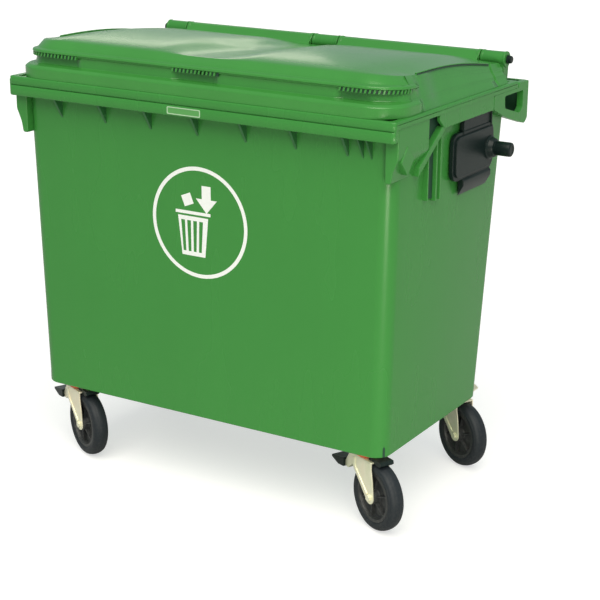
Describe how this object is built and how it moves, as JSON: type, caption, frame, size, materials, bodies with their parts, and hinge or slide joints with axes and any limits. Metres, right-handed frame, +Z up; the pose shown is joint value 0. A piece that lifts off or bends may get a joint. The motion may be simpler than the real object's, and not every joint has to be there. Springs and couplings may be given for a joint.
{
  "type": "four-wheel waste container",
  "caption": "Large four-wheel waste container: tapered tub with deep rim, hinged domed lid, side lifting trunnions, rear hand loops and braked swivel castors.",
  "frame": {"origin": "centre of the object's footprint, on the floor", "axes": "+X to the container's right along its width as its front is faced from outside, -Y towards the front, +Z up"},
  "size_m": [1.4, 0.83, 1.2826],
  "materials": {
    "green_plastic": "moulded polyethylene, satin gloss",
    "black_plastic": "moulded, fine grain",
    "label_plastic": "smooth moulded plate",
    "seal_rubber": "soft rubber",
    "orange_seal": "moulded ring",
    "yellow_zinc": "yellow-passivated zinc plate",
    "steel": "galvanised",
    "wheel_plastic": "moulded polypropylene",
    "bush_nylon": "nylon",
    "tyre": "solid rubber"
  },
  "bodies": {
    "container": {"tub": "green_plastic", "rear_handle_left": "green_plastic", "rear_handle_right": "green_plastic", "trunnion_bracket_left": "black_plastic", "trunnion_bracket_right": "black_plastic", "trunnion_pin_left": "black_plastic", "trunnion_pin_right": "black_plastic", "hinge_rod": "steel", "hinge_cap_left": "black_plastic", "hinge_cap_right": "black_plastic", "label_plate": "label_plastic", "drain_plug": "black_plastic", "drain_gasket": "seal_rubber", "castor_plate_front_left": "yellow_zinc", "kingpin_front_left": "steel", "dust_ring_front_left": "orange_seal", "castor_plate_front_right": "yellow_zinc", "kingpin_front_right": "steel", "dust_ring_front_right": "orange_seal", "castor_plate_rear_left": "yellow_zinc", "kingpin_rear_left": "steel", "dust_ring_rear_left": "orange_seal", "castor_plate_rear_right": "yellow_zinc", "kingpin_rear_right": "steel", "dust_ring_rear_right": "orange_seal"},
    "lid": {"lid": "green_plastic"},
    "castor_front_left": {"castor_fork_front_left": "yellow_zinc", "axle_bolt_front_left": "steel", "axle_nut_front_left": "steel", "brake_shoe_front_left": "black_plastic"},
    "wheel_front_left": {"wheel_centre_front_left": "wheel_plastic", "wheel_bush_front_left": "bush_nylon", "tyre_front_left": "tyre"},
    "brake_front_left": {"brake_arm_front_left": "yellow_zinc", "brake_pedal_front_left": "black_plastic"},
    "castor_front_right": {"castor_fork_front_right": "yellow_zinc", "axle_bolt_front_right": "steel", "axle_nut_front_right": "steel", "brake_shoe_front_right": "black_plastic"},
    "wheel_front_right": {"wheel_centre_front_right": "wheel_plastic", "wheel_bush_front_right": "bush_nylon", "tyre_front_right": "tyre"},
    "brake_front_right": {"brake_arm_front_right": "yellow_zinc", "brake_pedal_front_right": "black_plastic"},
    "castor_rear_left": {"castor_fork_rear_left": "yellow_zinc", "axle_bolt_rear_left": "steel", "axle_nut_rear_left": "steel"},
    "wheel_rear_left": {"wheel_centre_rear_left": "wheel_plastic", "wheel_bush_rear_left": "bush_nylon", "tyre_rear_left": "tyre"},
    "castor_rear_right": {"castor_fork_rear_right": "yellow_zinc", "axle_bolt_rear_right": "steel", "axle_nut_rear_right": "steel"},
    "wheel_rear_right": {"wheel_centre_rear_right": "wheel_plastic", "wheel_bush_rear_right": "bush_nylon", "tyre_rear_right": "tyre"}
  },
  "joints": [
    {"name": "lid_hinge", "type": "hinge", "parent": "container", "child": "lid", "pos_m": [0, 0.3325, 1.23], "axis": [-1, 0, 0], "range_deg": [0, 200]},
    {"name": "swivel_front_left", "type": "hinge", "parent": "container", "child": "castor_front_left", "pos_m": [-0.511, -0.2975, 0.2], "axis": [0, 0, 1], "continuous": true},
    {"name": "spin_front_left", "type": "hinge", "parent": "castor_front_left", "child": "wheel_front_left", "pos_m": [-0.46174, -0.32195, 0.1], "axis": [0.4446, 0.8957, 0], "continuous": true},
    {"name": "brake_pedal_front_left", "type": "hinge", "parent": "castor_front_left", "child": "brake_front_left", "pos_m": [-0.54952, -0.27838, 0.205], "axis": [-0.4446, -0.8957, 0], "range_deg": [0, 12]},
    {"name": "swivel_front_right", "type": "hinge", "parent": "container", "child": "castor_front_right", "pos_m": [0.511, -0.2975, 0.2], "axis": [0, 0, 1], "continuous": true},
    {"name": "spin_front_right", "type": "hinge", "parent": "castor_front_right", "child": "wheel_front_right", "pos_m": [0.56026, -0.32195, 0.1], "axis": [0.4446, 0.8957, 0], "continuous": true},
    {"name": "brake_pedal_front_right", "type": "hinge", "parent": "castor_front_right", "child": "brake_front_right", "pos_m": [0.47248, -0.27838, 0.205], "axis": [-0.4446, -0.8957, 0], "range_deg": [0, 12]},
    {"name": "swivel_rear_left", "type": "hinge", "parent": "container", "child": "castor_rear_left", "pos_m": [-0.511, 0.2375, 0.2], "axis": [0, 0, 1], "continuous": true},
    {"name": "spin_rear_left", "type": "hinge", "parent": "castor_rear_left", "child": "wheel_rear_left", "pos_m": [-0.46174, 0.21305, 0.1], "axis": [0.4446, 0.8957, 0], "continuous": true},
    {"name": "swivel_rear_right", "type": "hinge", "parent": "container", "child": "castor_rear_right", "pos_m": [0.511, 0.2375, 0.2], "axis": [0, 0, 1], "continuous": true},
    {"name": "spin_rear_right", "type": "hinge", "parent": "castor_rear_right", "child": "wheel_rear_right", "pos_m": [0.56026, 0.21305, 0.1], "axis": [0.4446, 0.8957, 0], "continuous": true}
  ]
}
